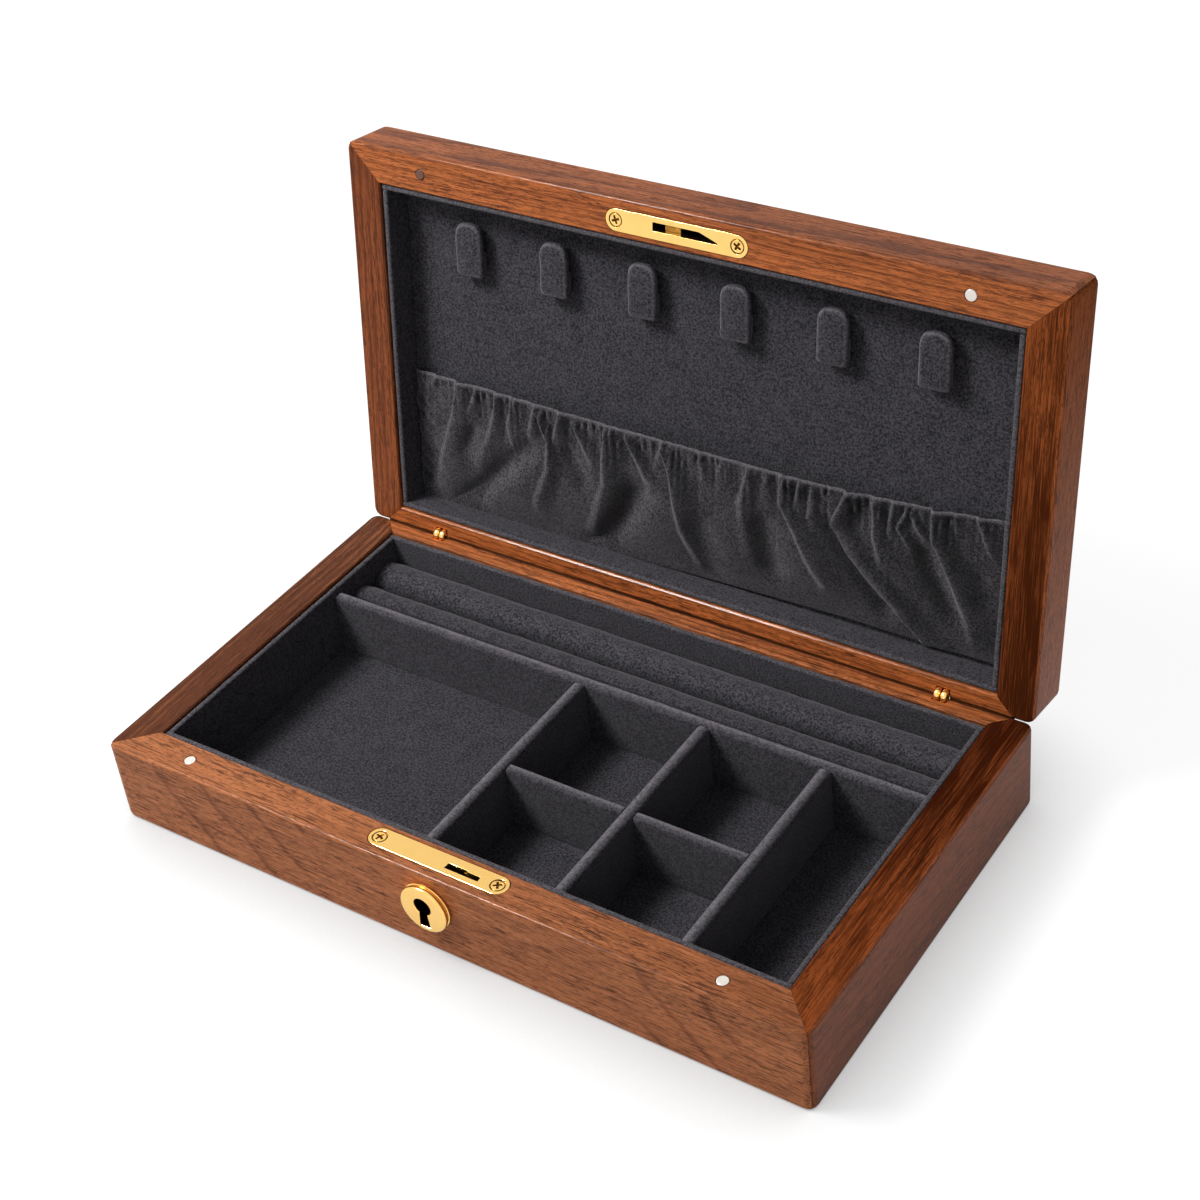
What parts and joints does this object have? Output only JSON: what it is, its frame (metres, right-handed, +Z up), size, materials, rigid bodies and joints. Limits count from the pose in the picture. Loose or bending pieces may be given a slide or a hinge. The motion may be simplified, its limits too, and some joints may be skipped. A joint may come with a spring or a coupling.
{
  "type": "jewelry box",
  "caption": "Hinged wooden jewelry box, open: mitred case, suede-lined tray with dividers and ring rolls, lid with necklace tabs and gathered pocket, hook lock.",
  "frame": {"origin": "middle of the tray's underside, on the surface the box stands on", "axes": "+X to the right along the length, +Y to the back where the hinges are, +Z up"},
  "size_m": [0.28, 0.1988, 0.1847],
  "materials": {
    "walnut": "satin lacquered walnut with dark pores",
    "walnut_panel": "satin lacquered walnut",
    "charcoal_suede": "charcoal suede, mottled nap",
    "pocket_cloth": "charcoal suede cloth, soft folds",
    "brass": "polished",
    "magnet": "satin, nickel plated",
    "brown_stud": "bronze brown, polished"
  },
  "bodies": {
    "tray": {"base_back_wall": "walnut", "base_bottom_panel": "walnut_panel", "base_front_wall": "walnut", "base_left_wall": "walnut", "base_liner_back": "charcoal_suede", "base_liner_floor": "charcoal_suede", "base_liner_front": "charcoal_suede", "base_liner_left": "charcoal_suede", "base_liner_right": "charcoal_suede", "base_magnet_left": "magnet", "base_magnet_right": "magnet", "base_right_wall": "walnut", "divider_left": "charcoal_suede", "divider_long": "charcoal_suede", "divider_middle": "charcoal_suede", "divider_right": "charcoal_suede", "divider_short_left": "charcoal_suede", "divider_short_right": "charcoal_suede", "hinge_base_left": "brass", "hinge_base_right": "brass", "hinge_pin_left": "brass", "hinge_pin_right": "brass", "keyhole_boss": "brass", "lock_case": "brass", "lock_pivot_pin": "brass", "lock_plate": "brass", "lock_screw_left": "brass", "lock_screw_right": "brass", "ring_roll_back": "charcoal_suede", "ring_roll_front": "charcoal_suede"},
    "lid": {"catch_keeper": "brass", "catch_plate": "brass", "catch_screw_left": "brass", "catch_screw_right": "brass", "gathered_pocket": "pocket_cloth", "hinge_lid_left": "brass", "hinge_lid_right": "brass", "lid_back_wall": "walnut", "lid_front_wall": "walnut", "lid_left_wall": "walnut", "lid_liner_back": "charcoal_suede", "lid_liner_front": "charcoal_suede", "lid_liner_left": "charcoal_suede", "lid_liner_right": "charcoal_suede", "lid_lining": "charcoal_suede", "lid_magnet_right": "magnet", "lid_right_wall": "walnut", "lid_stud_left": "brown_stud", "lid_top_panel": "walnut_panel", "necklace_tab_1": "charcoal_suede", "necklace_tab_2": "charcoal_suede", "necklace_tab_3": "charcoal_suede", "necklace_tab_4": "charcoal_suede", "necklace_tab_5": "charcoal_suede", "necklace_tab_6": "charcoal_suede"},
    "hook": {"lock_hook": "brass"},
    "follower": {"key_follower": "brass"}
  },
  "joints": [
    {"name": "lid_hinge", "type": "hinge", "parent": "tray", "child": "lid", "pos_m": [0, 0.07615, 0.03365], "axis": [1, 0, 0], "range_deg": [0, 98.5]},
    {"name": "hook_swing", "type": "hinge", "parent": "tray", "child": "hook", "pos_m": [-0.0023, -0.0691, 0.027], "axis": [0, -1, 0], "range_deg": [0, 90]},
    {"name": "key_turn", "type": "hinge", "parent": "tray", "child": "follower", "pos_m": [0, -0.0707, 0.0224], "axis": [0, -1, 0], "range_deg": [0, 90]}
  ],
  "couplings": [
    {"joint": "key_turn", "follows": "hook_swing", "ratio": 1}
  ]
}
